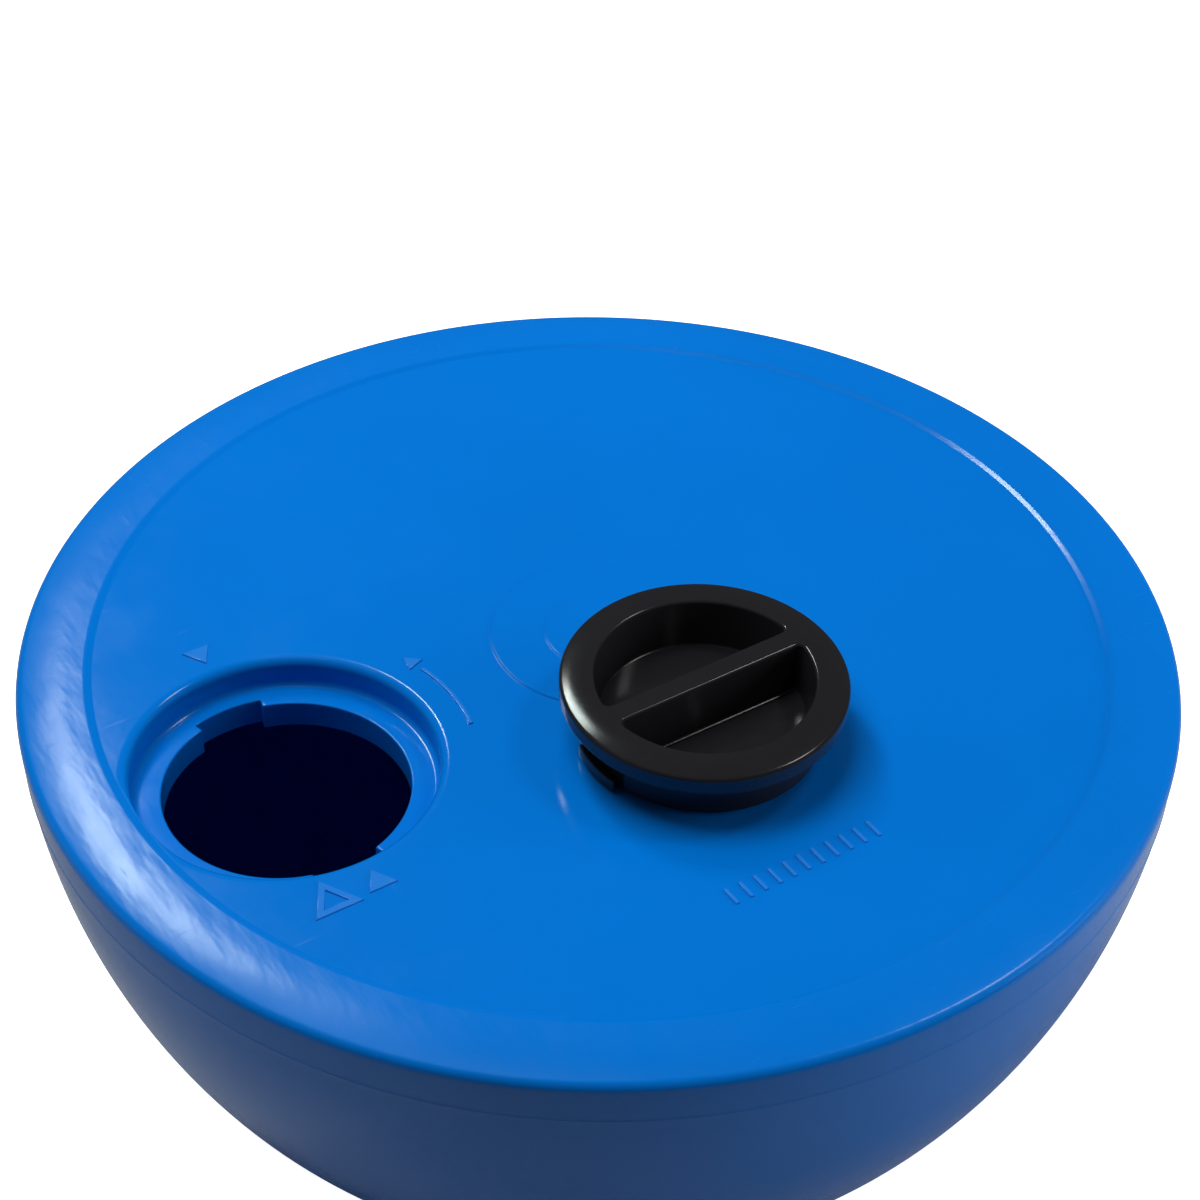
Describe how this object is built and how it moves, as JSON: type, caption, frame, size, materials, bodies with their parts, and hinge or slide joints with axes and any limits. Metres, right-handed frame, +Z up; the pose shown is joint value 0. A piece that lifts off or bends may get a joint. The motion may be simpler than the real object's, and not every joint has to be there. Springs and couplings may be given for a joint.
{
  "type": "fillable ballast base",
  "caption": "Hollow blue polyethylene ballast base, bowl shaped with a flat face, a bayonet filler hole near the rim and a loose black cap with a grip bar.",
  "frame": {"origin": "centre of the narrow end, on the surface that the base stands on, on the axis of the bowl", "axes": "+Z up along the bowl's axis, towards the flat face; the filler hole is on -X; the loose cap lies towards -Y"},
  "size_m": [0.36, 0.36, 0.2181],
  "materials": {
    "blue_polyethylene": "glossy moulded polyethylene, coloured through",
    "black_polypropylene": "satin moulded polypropylene",
    "seal_rubber": "matt black rubber"
  },
  "bodies": {
    "base": {"face_plate": "blue_polyethylene", "bowl_shell": "blue_polyethylene"},
    "seal": {"cap_seal": "seal_rubber"},
    "cap": {"filler_cap": "black_polypropylene"}
  },
  "joints": [
    {"name": "cap_lift", "type": "slide", "parent": "base", "child": "seal", "axis": [0, 0, 1], "range_m": [0, 0.08]},
    {"name": "cap_turn", "type": "hinge", "parent": "seal", "child": "cap", "pos_m": [0.0014, -0.0537, 0.21607], "axis": [0, -0.0175, 0.9998], "range_deg": [-60, 0]}
  ]
}
